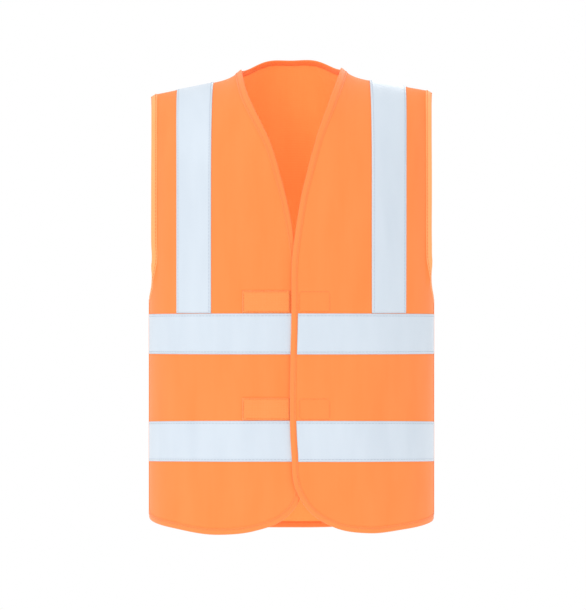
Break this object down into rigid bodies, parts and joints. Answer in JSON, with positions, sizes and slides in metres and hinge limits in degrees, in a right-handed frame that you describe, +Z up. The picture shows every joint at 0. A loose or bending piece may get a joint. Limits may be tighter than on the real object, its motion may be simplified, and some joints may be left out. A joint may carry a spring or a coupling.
{
  "type": "high visibility vest",
  "caption": "Sleeveless orange safety vest with silver reflective bands and braces, a V neck, bound edges and fronts that open on hook and loop closures.",
  "frame": {"origin": "midway between the two neck points, on the centre plane, over the side seams", "axes": "+Z up, -Y to the wearer's front, +X to the wearer's left"},
  "size_m": [0.3612, 0.2382, 0.6059],
  "materials": {
    "orange_cloth": "matte warp-knit polyester, fluorescent orange",
    "orange_binding": "matte folded polyester tape, fluorescent orange",
    "reflective_tape": "satin silver glass-bead retroreflective tape",
    "hook_and_loop": "napped hook and loop, orange",
    "label_cloth": "satin woven ribbon, blank"
  },
  "bodies": {
    "back": {"back_panel": "orange_cloth", "back_neck_binding": "orange_binding", "back_hem_binding": "orange_binding", "back_upper_band": "reflective_tape", "back_lower_band": "reflective_tape", "left_back_brace_tape": "reflective_tape", "right_back_brace_tape": "reflective_tape", "left_back_armhole_binding": "orange_binding", "right_back_armhole_binding": "orange_binding", "care_label": "label_cloth"},
    "left_front": {"left_front_panel": "orange_cloth", "left_front_edge_binding": "orange_binding", "left_front_armhole_binding": "orange_binding", "left_front_brace_tape": "reflective_tape", "left_front_upper_band": "reflective_tape", "left_front_lower_band": "reflective_tape", "upper_hook_patch": "hook_and_loop", "lower_hook_patch": "hook_and_loop"},
    "right_front": {"right_front_panel": "orange_cloth", "right_front_edge_binding": "orange_binding", "right_front_armhole_binding": "orange_binding", "right_front_brace_tape": "reflective_tape", "right_front_upper_band": "reflective_tape", "right_front_lower_band": "reflective_tape", "upper_loop_patch": "hook_and_loop", "lower_loop_patch": "hook_and_loop"}
  },
  "joints": [
    {"name": "left_front_swing", "type": "hinge", "parent": "back", "child": "left_front", "pos_m": [0.1812, 0, 0], "axis": [0, 0, 1], "range_deg": [0, 95]},
    {"name": "right_front_swing", "type": "hinge", "parent": "back", "child": "right_front", "pos_m": [-0.1812, 0, 0], "axis": [0, 0, -1], "range_deg": [0, 80]}
  ],
  "couplings": [
    {"joint": "right_front_swing", "follows": "left_front_swing", "ratio": 0.8}
  ]
}
